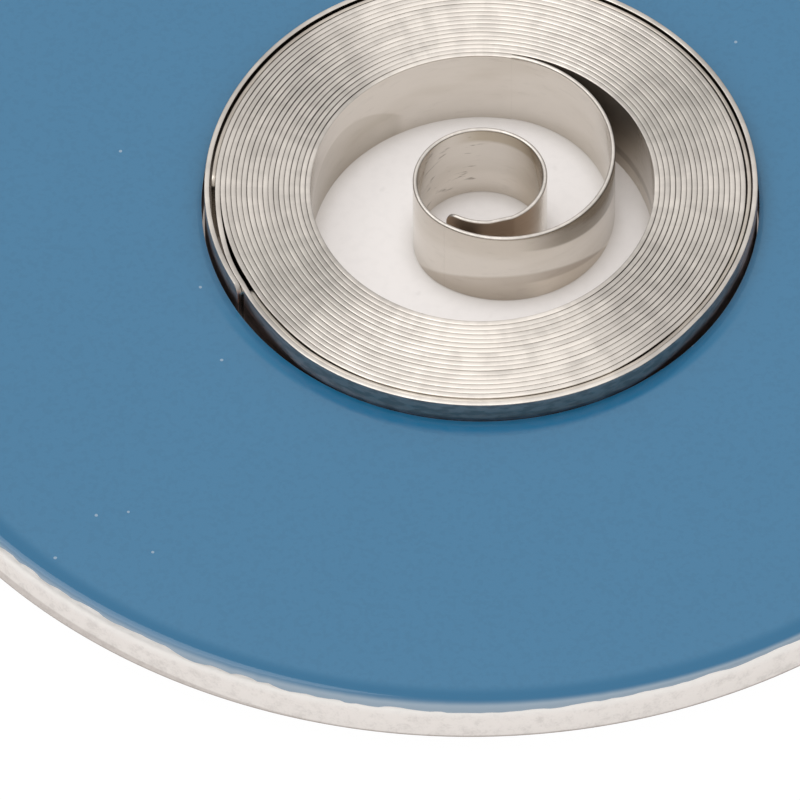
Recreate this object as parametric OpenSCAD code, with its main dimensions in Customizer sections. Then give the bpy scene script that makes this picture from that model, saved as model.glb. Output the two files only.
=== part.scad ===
// Mainspring of an automatic watch, wound into its transport ring.
// Sizes are in millimetres. +Z runs along the axis of the winding, and the
// origin is on that axis, level with the strip's lower edge, where the spring
// stands. Seen from above, the strip winds outwards counter-clockwise.

/* [Strip] */
// Height of the spring strip
strip_h = 1.87; // [1.5:0.01:2.5]
// Thickness of the spring strip
strip_t = 0.085; // [0.06:0.001:0.11]
// Gap between one turn of the winding and the next
turn_gap = 0.0165; // [0.012:0.0005:0.03]
// Radius of the rounded corners at both ends of the strip
corner_r = 0.22; // [0.05:0.01:0.4]
// Length that dressing takes off each end, and its reach over both edges
end_dress = 0.01; // [0.005:0.005:0.05]

/* [Winding] */
// Radius of the strip's middle line where the winding begins
winding_r = 3.31; // [3.1:0.005:3.6]
// Whole turns from there to the slipping bridle
turns = 17; // [8:1:18]
// Direction in which the winding begins
winding_at = 79.5; // [60:0.5:100]
// Direction in which the strip ends, as the outermost turn
strip_end_at = 208.4; // [195:0.1:235]

/* [Slipping bridle] */
// Thickness of the bridle
bridle_t = 0.085; // [0.06:0.001:0.12]
// Amount by which the bridle is lower than the strip, above and below
bridle_inset = 0.03; // [0.01:0.005:0.1]
// Direction in which the strip steps out to lie over the bridle
step_at = 193.5; // [180:0.5:205]
// Angle that this step takes, which the bridle leaves free
step_span = 30; // [20:1:40]

/* [Free inner coils] */
// Radius of the loop that leaves the winding
loop_r = 2.36; // [2.3:0.01:2.45]
// Direction in which the loop turns into the bend
loop_end_at = -18; // [-30:1:10]
// Radius of the bend that leads from the loop to the inner coil
bend_r = 2.06; // [1.95:0.01:2.15]
// Direction in which the bend turns into the inner coil
bend_end_at = -123; // [-135:1:-110]
// Radius of the inner coil, at the strip's middle line
coil_r = 1.275; // [1.24:0.005:1.35]
// Direction in which the inner coil tightens onto the arbor's seat
seat_at = 60; // [40:1:80]
// Angle of the arbor's seat, from there to the strip's inner end
seat_span = 178; // [130:1:190]
// Diameter of the arbor that the inner end is curved to hold
arbor_d = 2.18; // [2:0.01:2.25]

/* [Eye for the arbor's hook] */
// Length of the eye along the strip
eye_l = 0.9; // [0.5:0.05:1.2]
// Height of the eye
eye_h = 0.45; // [0.3:0.05:0.7]
// Direction of the eye from the arbor's axis
eye_at = -75; // [-85:1:-60]

/* [Transport ring] */
// Outer diameter of the ring
ring_d = 24.5; // [18:0.1:30]
// Thickness of the ring, with its lacquer
ring_t = 0.92; // [0.7:0.01:1.3]
// Play between the wound spring and the ring's bore, all round
ring_play = 0.07; // [0.05:0.01:0.2]
// Radius of the rolled upper edge of the ring
lip_r = 0.1; // [0.05:0.01:0.2]
// Thickness of the lacquer on the upper face
lacquer_t = 0.02; // [0.015:0.005:0.05]

/* [Hidden] */
$fn = 96;

steel = [0.80, 0.78, 0.74];
bridle_steel = [0.66, 0.63, 0.59];
aluminium = [0.88, 0.87, 0.86];
blue_lacquer = [0.31, 0.50, 0.64];

// One turn of the winding adds this to its radius
pitch = strip_t + turn_gap;
// The strip steps out by this much, so that the bridle fits below it
step_out = bridle_t + turn_gap;
// The spring stands out equally from both faces of the ring
ring_z = (strip_h - ring_t) / 2;
bridle_h = strip_h - 2 * bridle_inset;
// Centre of the rounded upper edge of the ring's bare plate
shoulder_r = ring_d / 2 - lacquer_t - lip_r;
shoulder_z = ring_t - lacquer_t - lip_r;

function toward(a) = [cos(a), sin(a)];

// A route is a list of arcs that run smoothly into each other. Each leg is
// [radius, angle where it ends]; each arc is [centre, radius, from, to].
function route(legs, from, centre) = [
    for (i = 0, c = centre, a = from;
         i < len(legs);
         c = i + 1 < len(legs) ? c + (legs[i][0] - legs[i + 1][0]) * toward(legs[i][1]) : c,
         a = legs[i][1],
         i = i + 1)
        [c, legs[i][0], a, legs[i][1]]
];

// The winding's half turns, with a radius that grows by half a pitch at each
lap = 360 * turns;
function half_turns(count) = [
    for (k = [0 : count - 1])
        [winding_r + k * pitch / 2, winding_at + 180 * (k + 1)]
];

// The step outwards is a flatter arc and then a tighter one, on one centre
full_r = winding_r + turns * pitch;
step_from = lap + step_at - step_span / 2;
step_to = lap + step_at + step_span / 2;
flare = step_out / (2 * (1 - cos(step_span / 2)));

winding_legs = concat(
    half_turns(2 * turns),
    [
        [full_r, step_from],
        [full_r + flare, lap + step_at],
        [full_r + step_out - flare, step_to],
        [full_r + step_out, lap + winding_at + 180],
        [full_r + step_out + pitch / 2, lap + winding_at + 360],
        [full_r + step_out + pitch, lap + 360 + strip_end_at]
    ]
);
// Half turns have two centres, which lie on both sides of the ring's axis
first_centre = -pitch / 4 * toward(winding_at);
winding_route = route(winding_legs, winding_at, first_centre);
last_arc = winding_route[len(winding_route) - 1];

// The bridle takes the place that the strip left when it stepped out
bridle_shift = (bridle_t - strip_t) / 2;
bridle_legs = [
    [full_r + bridle_shift, lap + winding_at + 180],
    [full_r + bridle_shift + pitch / 2, lap + winding_at + 360],
    [full_r + bridle_shift + pitch, step_from + 360]
];
bridle_route = route(bridle_legs, step_to, first_centre);
bridle_first = bridle_route[0];
bridle_last = bridle_route[len(bridle_route) - 1];

// From the winding's first point the strip runs clockwise, inwards
seat_r = (arbor_d + strip_t) / 2;
inner_legs = [
    [winding_r, winding_at],
    [loop_r, loop_end_at],
    [bend_r, bend_end_at],
    [coil_r, seat_at - 360],
    [seat_r, seat_at - 360 - seat_span]
];
inner_route = route(inner_legs, winding_at, first_centre);
loop_route = [inner_route[1], inner_route[2]];
coil_route = [inner_route[3], inner_route[4]];
seat = inner_route[4];

// Points on the strip's middle line, one every few degrees of turning
sample_angle = 5;
function on_arc(arc, a) = arc[0] + arc[1] * toward(a);
winding_points = [
    for (arc = winding_route)
        for (a = [ceil(arc[2] / sample_angle) * sample_angle : sample_angle : arc[3]])
            [a, on_arc(arc, a)]
];
bridle_points = [
    for (arc = bridle_route)
        for (a = [ceil(arc[2] / sample_angle) * sample_angle : sample_angle : arc[3]])
            [a, on_arc(arc, a)]
];
// The bore clears the last turn wherever that is furthest from the axis
pack_r = max([for (p = winding_points) norm(p[1])]) + strip_t / 2;
bore_r = pack_r + ring_play;
ring_r = ring_d / 2;

function gaps_to_self(points) = [
    for (i = [0 : len(points) - 2])
        let (next = [for (j = [i + 1 : min(i + 380 / sample_angle, len(points) - 1)])
                         if (points[j][0] - points[i][0] == 360) points[j][1]])
        if (len(next) > 0) norm(next[0] - points[i][1]) - strip_t
];
function gaps_to_bridle(points, bridle) = [
    for (b = bridle)
        for (p = points)
            if (p[0] == b[0] || p[0] == b[0] - 360) norm(p[1] - b[1]) - (strip_t + bridle_t) / 2
];
function arc_lengths(arcs) = [for (arc = arcs) abs(arc[3] - arc[2]) * arc[1] * PI / 180];
function length_of(arcs) = arc_lengths(arcs) * [for (arc = arcs) 1];

echo(least_gap_between_turns_mm = min(gaps_to_self(winding_points)));
echo(least_gap_to_bridle_mm = min(gaps_to_bridle(winding_points, bridle_points)));
echo(strip_length_mm = length_of(winding_route) + length_of(loop_route) + length_of(coil_route));
echo(bridle_length_mm = length_of(bridle_route), bore_diameter_mm = 2 * bore_r);
echo(arbor_axis_mm = seat[0]);
echo(loop_top_mm = on_arc(inner_route[1], winding_at), coil_joint_mm = on_arc(coil_route[0], bend_end_at));

// Moves by whole hundredths and then by the rest, which keeps every digit of
// a place, so that each arc meets the next one face to face
module shift(place) {
    coarse = [for (x = place) round(x * 100) / 100];
    translate(coarse)
        translate(place - coarse)
            children();
}

// A strip on edge that follows one arc after another
module band(arcs, thick, high, low) {
    for (arc = arcs)
        shift([arc[0][0], arc[0][1], low])
            rotate_extrude(angle = abs(arc[3] - arc[2]), start = min(arc[2], arc[3]) % 360)
                shift([arc[1] - thick / 2, 0])
                    square([thick, high]);
}

// The waste at a strip's end, which is dressed back and rounded at its corners
// by a cutter that reaches over both edges. way is 1 where the strip ends with
// a growing angle, and -1 where it falls.
module end_waste(arc, angle, way, high, low, wide) {
    translate([arc[0][0], arc[0][1], low])
        rotate(angle)
            translate([arc[1], 0])
                mirror([0, way < 0 ? 1 : 0, 0])
                    rotate([90, 0, 90])
                        linear_extrude(wide, center = true)
                            difference() {
                                translate([-end_dress - corner_r, -end_dress])
                                    square([2 * (end_dress + corner_r), high + 2 * end_dress]);
                                translate([-end_dress, -end_dress])
                                    round_end(high + 2 * end_dress);
                            }
}

// A strip's end seen from its side, up to x = 0
module round_end(high) {
    translate([-2 * corner_r, corner_r])
        square([2 * corner_r, high - 2 * corner_r]);
    translate([-2 * corner_r, 0])
        square([corner_r, high]);
    for (y = [corner_r, high - corner_r])
        translate([-corner_r, y])
            circle(r = corner_r);
}

// The slot that the arbor's hook catches
module hook_eye() {
    translate([seat[0][0], seat[0][1], strip_h / 2])
        rotate(eye_at)
            translate([seat_r, 0, 0])
                rotate([0, 90, 0])
                    linear_extrude(4 * strip_t, center = true) {
                        square([eye_h, eye_l - eye_h], center = true);
                        for (y = [-1, 1])
                            translate([0, y * (eye_l - eye_h) / 2])
                                circle(d = eye_h);
                    }
}

// The ring's cross-section under its lacquer
module plate_section() {
    translate([bore_r, 0])
        square([ring_r - bore_r, shoulder_z]);
    translate([bore_r, 0])
        square([shoulder_r - bore_r, ring_t - lacquer_t]);
    translate([shoulder_r, shoulder_z])
        circle(r = lip_r);
}

// The ring's cross-section with the lacquer on its face and over its lip
module coated_section() {
    translate([bore_r, shoulder_z])
        square([shoulder_r - bore_r, lip_r + lacquer_t]);
    intersection() {
        translate([shoulder_r, shoulder_z])
            circle(r = lip_r + lacquer_t);
        translate([shoulder_r, shoulder_z])
            square(2 * (lip_r + lacquer_t));
    }
}

// Round plate with a bore that holds the spring wound
module ring_plate() {
    color(aluminium)
        translate([0, 0, ring_z])
            rotate_extrude()
                plate_section();
}

// Blue film on the ring's upper face
module face_lacquer() {
    color(blue_lacquer)
        translate([0, 0, ring_z])
            rotate_extrude()
                difference() {
                    coated_section();
                    plate_section();
                }
}

// The turns that lie close together, out to the strip's outer end
module spring_winding() {
    color(steel)
        difference() {
            band(winding_route, strip_t, strip_h, 0);
            end_waste(last_arc, strip_end_at, 1, strip_h, 0, pitch);
        }
}

// The free loop between the winding and the inner coil
module spring_loop() {
    color(steel)
        band(loop_route, strip_t, strip_h, 0);
}

// The inner coil with the arbor's seat and the eye for its hook
module inner_coil() {
    color(steel)
        difference() {
            band(coil_route, strip_t, strip_h, 0);
            end_waste(seat, seat_at - seat_span, -1, strip_h, 0, 3 * strip_t);
            hook_eye();
        }
}

// The stiff strip of just under a turn that lies inside the last turn
module slip_bridle() {
    color(bridle_steel)
        difference() {
            band(bridle_route, bridle_t, bridle_h, bridle_inset);
            end_waste(bridle_first, bridle_first[2], -1, bridle_h, bridle_inset, pitch);
            end_waste(bridle_last, bridle_last[3], 1, bridle_h, bridle_inset, pitch);
        }
}

ring_plate();
face_lacquer();
spring_winding();
spring_loop();
inner_coil();
slip_bridle();
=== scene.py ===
"""Dresses a watch mainspring, wound into its transport ring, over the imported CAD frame.

The strip, its slipping bridle, the ring and the ring's lacquer each get their
real edges and finish. Sizes in the classes are in millimetres and are turned
into metres when a mesh is made.
"""

import logging
import math
from collections.abc import Callable, Mapping, Sequence
from dataclasses import dataclass, field
from enum import Enum
from functools import cached_property

import bpy
import numpy as np
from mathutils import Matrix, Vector


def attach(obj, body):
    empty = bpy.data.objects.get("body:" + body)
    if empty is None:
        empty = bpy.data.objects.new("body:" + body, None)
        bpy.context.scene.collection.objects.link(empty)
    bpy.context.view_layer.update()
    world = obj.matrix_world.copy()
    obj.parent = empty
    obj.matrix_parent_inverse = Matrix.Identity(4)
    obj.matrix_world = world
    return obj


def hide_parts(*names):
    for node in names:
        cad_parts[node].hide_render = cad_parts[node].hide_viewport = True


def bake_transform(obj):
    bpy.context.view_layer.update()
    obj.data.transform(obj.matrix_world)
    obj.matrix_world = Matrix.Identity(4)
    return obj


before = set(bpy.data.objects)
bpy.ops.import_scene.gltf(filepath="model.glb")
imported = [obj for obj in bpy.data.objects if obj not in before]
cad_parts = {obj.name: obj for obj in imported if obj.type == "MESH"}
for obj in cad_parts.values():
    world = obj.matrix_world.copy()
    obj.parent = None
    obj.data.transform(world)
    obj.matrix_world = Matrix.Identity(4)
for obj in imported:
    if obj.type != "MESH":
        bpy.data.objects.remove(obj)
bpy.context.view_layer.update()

log = logging.getLogger("mainspring")

MM = 0.001
LATHE_STEPS = 720
BLACK = (0.0, 0.0, 0.0)
WHITE = (1.0, 1.0, 1.0)

Colour = tuple[float, float, float]
Place = tuple[float, float, float]
Point = tuple[float, float]
Table = tuple[Point, ...]
Socket = bpy.types.NodeSocket


class Body(Enum):
    """The bodies of the frame that the pieces ride on."""

    SPRING_PACK = "spring_pack"
    TRANSPORT_RING = "transport_ring"
    ARBOR_END = "arbor_end"


class Slot(Enum):
    """The record's material slots."""

    SPRING_STEEL = "spring_steel"
    BRIDLE_STEEL = "bridle_steel"
    BLUE_LACQUER = "blue_lacquer"
    BARE_ALUMINIUM = "bare_aluminium"


class Effect(Enum):
    """The effects that several finishes share, each built once as a node group."""

    BLOTCHES = "blotches"
    DRAWN_LINES = "drawn_lines"
    DUST = "dust"
    MARK = "mark"
    UNDER_CURVE = "under_curve"


class Domain(Enum):
    """What a shader node's mix works on, with the sockets that it then uses."""

    NUMBER = ("FLOAT", 2, 3, 0)
    COLOUR = ("RGBA", 6, 7, 2)


def linear(red: int, green: int, blue: int) -> Colour:
    """Turns a colour as a screen shows it, 0 to 255, into linear light.

    Args:
        red: Red as shown.
        green: Green as shown.
        blue: Blue as shown.

    Returns:
        The three parts in linear light, 0 to 1.
    """
    shown = (value / 255 for value in (red, green, blue))
    parts = [v / 12.92 if v <= 0.04045 else ((v + 0.055) / 1.055) ** 2.4 for v in shown]
    return parts[0], parts[1], parts[2]


def toward(angle: float) -> np.ndarray:
    """Gives the unit vector in a direction of the ring's plane, in degrees."""
    return np.array([math.cos(math.radians(angle)), math.sin(math.radians(angle))])


def smooth_step(value: np.ndarray) -> np.ndarray:
    """Eases values from 0 to 1, and holds them at 0 and 1 beyond that."""
    held = np.clip(value, 0.0, 1.0)
    return held * held * (3 - 2 * held)


def wander(angles: np.ndarray, seed: int, spacing: float) -> np.ndarray:
    """Makes a smooth random curve between -1 and 1 along a list of angles.

    Args:
        angles: Angles in degrees, which may span many turns.
        seed: Start of the random draws, so that each run gives the same curve.
        spacing: Degrees between one draw and the next.

    Returns:
        One value for each angle.
    """
    first = float(angles.min())
    count = int((angles.max() - first) / spacing) + 3
    draws = np.random.default_rng(seed).uniform(-1, 1, count)
    place = (angles - first) / spacing
    cell = np.floor(place).astype(int)
    share = smooth_step(place - cell)
    return draws[cell] * (1 - share) + draws[cell + 1] * share


def look_up(table: Table, angles: np.ndarray) -> np.ndarray:
    """Reads a table of directions in degrees and values, which runs on round the circle.

    Args:
        table: Pairs of a direction and a value.
        angles: Angles in degrees, which may span many turns.

    Returns:
        One value for each angle.
    """
    directions, values = zip(*table)
    return np.interp(angles % 360, directions, values, period=360)


# Shader graphs


class Graph:
    """A shader node tree with short calls to add and join its nodes."""

    def __init__(self, tree: bpy.types.NodeTree) -> None:
        """Starts with an empty tree."""
        self.tree = tree
        tree.nodes.clear()

    def feed(self, socket: Socket, value: object) -> None:
        """Joins an output to an input, or gives the input a plain value.

        Args:
            socket: The input.
            value: The output to join, or the value.
        """
        if isinstance(value, Socket):
            self.tree.links.new(value, socket)
        else:
            socket.default_value = value

    def add(
        self, kind: str, sockets: Mapping[str | int, object] | None = None, **settings: object
    ) -> bpy.types.Node:
        """Adds a node, sets it up and feeds its inputs.

        Args:
            kind: The node's type, without the word ShaderNode before it.
            sockets: For each input's name or number, a value or an output to join.
            settings: The node's own properties.

        Returns:
            The new node.
        """
        node = self.tree.nodes.new("ShaderNode" + kind)
        for name, value in settings.items():
            setattr(node, name, value)
        for key, value in (sockets or {}).items():
            self.feed(node.inputs[key], value)
        return node

    def use(self, effect: Effect, **feeds: object) -> Socket:
        """Places a shared effect and feeds its named inputs.

        Args:
            effect: The effect.
            feeds: For each input's name in small letters, a value or an output to join.

        Returns:
            The effect's output.
        """
        node = self.add("Group", node_tree=bpy.data.node_groups[effect.value])
        for name, value in feeds.items():
            self.feed(node.inputs[name.replace("_", " ").capitalize()], value)
        return node.outputs[0]

    def math(self, operation: str, *values: object, clamp: bool = False) -> Socket:
        """Adds a sum of one to three values and gives its output."""
        feeds = dict(enumerate(values))
        return self.add("Math", feeds, operation=operation, use_clamp=clamp).outputs[0]

    def times(self, first: object, *others: object) -> Socket:
        """Multiplies values.

        Args:
            first: The first value.
            others: The values that it is multiplied by.

        Returns:
            The product's output.
        """
        for other in others:
            first = self.math("MULTIPLY", first, other)
        return first

    def inverse(self, share: object) -> Socket:
        """Gives what a share leaves of 1."""
        return self.math("SUBTRACT", 1.0, share)

    def mix(
        self, share: object, first: object, second: object, domain: Domain = Domain.COLOUR
    ) -> Socket:
        """Blends two colours or numbers.

        Args:
            share: 0 for the first, 1 for the second.
            first: What share 0 gives.
            second: What share 1 gives.
            domain: Whether these are colours or numbers.

        Returns:
            The blend's output.
        """
        data_type, slot_a, slot_b, slot_out = domain.value
        feeds = {0: share}
        for index, value in ((slot_a, first), (slot_b, second)):
            feeds[index] = (*value, 1.0) if isinstance(value, tuple) else value
        return self.add("Mix", feeds, data_type=data_type).outputs[slot_out]

    def ramp(
        self, value: object, low: float, high: float, bottom: float = 0.0, top: float = 1.0
    ) -> Socket:
        """Maps low..high smoothly to bottom..top and holds it beyond that.

        Args:
            value: The value to map.
            low: Where it gives the bottom.
            high: Where it gives the top.
            bottom: What it gives up to there.
            top: What it gives from there on.

        Returns:
            The mapped value's output.
        """
        feeds = {"Value": value, "From Min": low, "From Max": high, "To Min": bottom, "To Max": top}
        return self.add("MapRange", feeds, interpolation_type="SMOOTHSTEP").outputs["Result"]

    def noise(
        self, place: object, scale: object, detail: float, stretch: Place | None = None
    ) -> Socket:
        """Adds a noise texture, which a small stretch draws out along its axis.

        Args:
            place: Where the texture is read.
            scale: How many patches lie in a unit of length.
            detail: How many finer layers it has.
            stretch: What each part of the place is multiplied by first.

        Returns:
            The noise's output, around 0.5.
        """
        if stretch is not None:
            place = self.add("VectorMath", {0: place, 1: stretch}, operation="MULTIPLY").outputs[0]
        return self.add("TexNoise", {"Vector": place, "Scale": scale, "Detail": detail}).outputs["Fac"]

    def place(self) -> Socket:
        """Gives the place on the piece, in metres."""
        return self.add("TexCoord").outputs["Object"]

    def split(self, vector: object) -> bpy.types.bpy_prop_collection:
        """Gives a vector's three parts."""
        return self.add("SeparateXYZ", {0: vector}).outputs

    def polar(self, place: object) -> tuple[Socket, Socket, Socket]:
        """Gives a place by its distance from the ring's axis.

        Args:
            place: The place.

        Returns:
            The distance, the angle in radians and the height.
        """
        x, y, z = self.split(place)
        square = self.math("ADD", self.math("POWER", x, 2.0), self.math("POWER", y, 2.0))
        return self.math("SQRT", square), self.math("ARCTAN2", y, x), z


def open_material(name: str) -> tuple[bpy.types.Material, Graph]:
    """Starts a material.

    Args:
        name: The material's name.

    Returns:
        The material and its empty graph.
    """
    made = bpy.data.materials.new(name)
    made.use_nodes = True
    return made, Graph(made.node_tree)


def shared_group(
    effect: Effect,
    inputs: Mapping[str, float | None],
    output: str,
    build: Callable[[Graph, bpy.types.NodeOutputs], Socket],
) -> None:
    """Makes a node group that several finishes use.

    Args:
        effect: The effect that it makes.
        inputs: Each input's name with its usual value, or None for a vector.
        output: The name of the value that it puts out.
        build: Adds its nodes, from the graph and the group's inputs, and gives that value.
    """
    tree = bpy.data.node_groups.new(effect.value, "ShaderNodeTree")
    graph = Graph(tree)
    for label, usual in inputs.items():
        kind = "NodeSocketVector" if usual is None else "NodeSocketFloat"
        socket = tree.interface.new_socket(label, in_out="INPUT", socket_type=kind)
        if usual is not None:
            socket.default_value = usual
    tree.interface.new_socket(output, in_out="OUTPUT", socket_type="NodeSocketFloat")
    entry = tree.nodes.new("NodeGroupInput")
    leave = tree.nodes.new("NodeGroupOutput")
    graph.feed(leave.inputs[output], build(graph, entry.outputs))


def blotches(graph: Graph, entry: bpy.types.NodeOutputs) -> Socket:
    """Makes soft patches, large and small, around the value 0.5.

    Args:
        graph: The group's graph.
        entry: The group's inputs.

    Returns:
        The tone, 0 to 1.
    """
    finer = 5.3
    fine_share = 0.35
    broad = graph.noise(entry["Place"], entry["Scale"], 5.0)
    fine = graph.noise(entry["Place"], graph.times(entry["Scale"], finer), 3.0)
    both = graph.mix(fine_share, broad, fine, Domain.NUMBER)
    spread = graph.times(graph.math("SUBTRACT", both, 0.5), entry["Contrast"])
    return graph.math("ADD", spread, 0.5, clamp=True)


def drawn_lines(graph: Graph, entry: bpy.types.NodeOutputs) -> Socket:
    """Makes the fine lines that rolling leaves along a strip.

    Args:
        graph: The group's graph.
        entry: The group's inputs.

    Returns:
        The lines, 0 to 1.
    """
    along, height, _ = graph.split(entry["Strip place"])
    feeds = {0: graph.times(along, entry["Reach"]), 1: height, 2: 0.0}
    place = graph.add("CombineXYZ", feeds).outputs[0]
    feeds = {"Vector": place, "Scale": entry["Density"], "Detail": 3.0, "Roughness": 0.65}
    return graph.add("TexNoise", feeds).outputs["Fac"]


def dust(graph: Graph, entry: bpy.types.NodeOutputs) -> Socket:
    """Makes scattered specks, of which only a share of the cells has one.

    Args:
        graph: The group's graph.
        entry: The group's inputs.

    Returns:
        The specks, 0 to 1.
    """
    least_size = 0.6
    sharpness = 40.0
    feeds = {"Vector": entry["Place"], "Scale": entry["Scale"]}
    cells = graph.add("TexVoronoi", feeds, feature="F1")
    draw = graph.add("SeparateColor", {0: cells.outputs["Color"]}).outputs[0]
    chosen = graph.math("LESS_THAN", draw, entry["Share"])
    size = graph.times(entry["Size"], graph.math("ADD", draw, least_size))
    rim = graph.math("SUBTRACT", size, cells.outputs["Distance"])
    return graph.times(graph.math("MULTIPLY", rim, sharpness, clamp=True), chosen)


def mark(graph: Graph, entry: bpy.types.NodeOutputs) -> Socket:
    """Makes one mark at a place, with a ragged edge.

    Args:
        graph: The group's graph.
        entry: The group's inputs.

    Returns:
        The mark, 0 to 1.
    """
    ragged_scale = 9000.0
    away = {0: entry["Place"], 1: entry["Centre"]}
    distance = graph.add("VectorMath", away, operation="DISTANCE").outputs["Value"]
    ragged = graph.math("ADD", graph.noise(entry["Place"], ragged_scale, 2.0), 0.5)
    share = graph.math("DIVIDE", distance, graph.times(entry["Radius"], ragged))
    return graph.inverse(graph.ramp(share, 0.7, 1.1))


def under_curve(graph: Graph, entry: bpy.types.NodeOutputs) -> Socket:
    """Tells which part of a strip's wall lies under a curve.

    Args:
        graph: The group's graph.
        entry: The group's inputs.

    Returns:
        The mask, 0 to 1.
    """
    along, height, _ = graph.split(entry["Strip place"])
    away = graph.math("SUBTRACT", along, entry["Middle"])
    limit = graph.math("MULTIPLY_ADD", away, entry["Slope"], entry["Level"])
    limit = graph.math("SUBTRACT", limit, graph.times(away, away, entry["Bend"]))
    return graph.ramp(graph.math("SUBTRACT", limit, height), 0.0, entry["Softness"])


def build_effects() -> None:
    """Builds each shared effect once."""
    inputs = {"Place": None, "Scale": 300.0, "Contrast": 1.0}
    shared_group(Effect.BLOTCHES, inputs, "Tone", blotches)
    inputs = {"Strip place": None, "Density": 40.0, "Reach": 0.06}
    shared_group(Effect.DRAWN_LINES, inputs, "Line", drawn_lines)
    inputs = {"Place": None, "Scale": 400.0, "Share": 0.1, "Size": 0.1}
    shared_group(Effect.DUST, inputs, "Speck", dust)
    inputs = {"Place": None, "Centre": None, "Radius": 0.00004}
    shared_group(Effect.MARK, inputs, "Mark", mark)
    inputs = {"Strip place": None, "Middle": 0.0, "Level": 1.0, "Slope": 0.0, "Bend": 0.0}
    inputs["Softness"] = 0.1
    shared_group(Effect.UNDER_CURVE, inputs, "Under", under_curve)


# Finishes


@dataclass(frozen=True)
class Look:
    """A surface's shader inputs, with the height and the depth of its bump."""

    shader: dict[str, object]
    height: Socket
    depth: float


@dataclass(frozen=True)
class Finish:
    """What every finish has: its slot, and how its material is put together."""

    slot: Slot

    def look(self, graph: Graph) -> Look:
        """Adds the nodes of the finish.

        Args:
            graph: The material's graph.

        Returns:
            What the surface takes.
        """
        raise NotImplementedError

    def material(self) -> bpy.types.Material:
        """Builds the material.

        Returns:
            The new material, named after its slot.
        """
        made, graph = open_material(self.slot.value)
        look = self.look(graph)
        feeds = {"Height": look.height, "Strength": 1.0, "Distance": look.depth}
        normal = graph.add("Bump", feeds).outputs[0]
        surface = graph.add("BsdfPrincipled", {**look.shader, "Normal": normal})
        graph.add("OutputMaterial", {"Surface": surface.outputs[0]})
        return made


class StripSpot:
    """Where a shaded point lies, on its piece and along its strip."""

    def __init__(self, graph: Graph) -> None:
        """Adds the nodes that give the place, the ring's polar values and the strip's.

        Args:
            graph: The material's graph.
        """
        self.strip_place = graph.add("Attribute", attribute_name="strip_place").outputs["Vector"]
        self.along, _, self.across = graph.split(self.strip_place)
        self.place = graph.place()
        self.reach, self.turn, _ = graph.polar(self.place)


@dataclass(frozen=True)
class PaintedLightField:
    """A part of the strip's wall that a tint makes darker or paler, mostly painted shade and painted
    reflections.

    It lies under or over a curve of the wall's height against the distance
    along the strip, both in millimetres, and fades in and out along the strip.
    """

    tint: Colour
    fades_in: Point
    fades_out: Point
    outer: bool = True
    over: bool = False
    middle: float = 0.0
    level: float = 9.0
    slope: float = 0.0
    bend: float = 0.0
    softness: float = 0.1

    def mask(self, graph: Graph, spot: StripSpot) -> Socket:
        """Gives 1 inside the field and 0 outside it.

        Args:
            graph: The material's graph.
            spot: Where the shaded point lies.

        Returns:
            The mask's output.
        """
        inside = graph.use(
            Effect.UNDER_CURVE,
            strip_place=spot.strip_place,
            middle=self.middle,
            level=self.level,
            slope=self.slope,
            bend=self.bend,
            softness=self.softness,
        )
        if self.over:
            inside = graph.inverse(inside)
        fade = graph.ramp(spot.along, *self.fades_in)
        gone = graph.ramp(spot.along, *self.fades_out, 1.0, 0.0)
        side = graph.math("GREATER_THAN" if self.outer else "LESS_THAN", spot.across, 0.0)
        return graph.times(inside, fade, gone, side)


@dataclass(frozen=True)
class DullStretch:
    """A stretch of the strip that dried oil dulls, and how far each end eases in."""

    start: float
    stop: float
    ease: float


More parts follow.
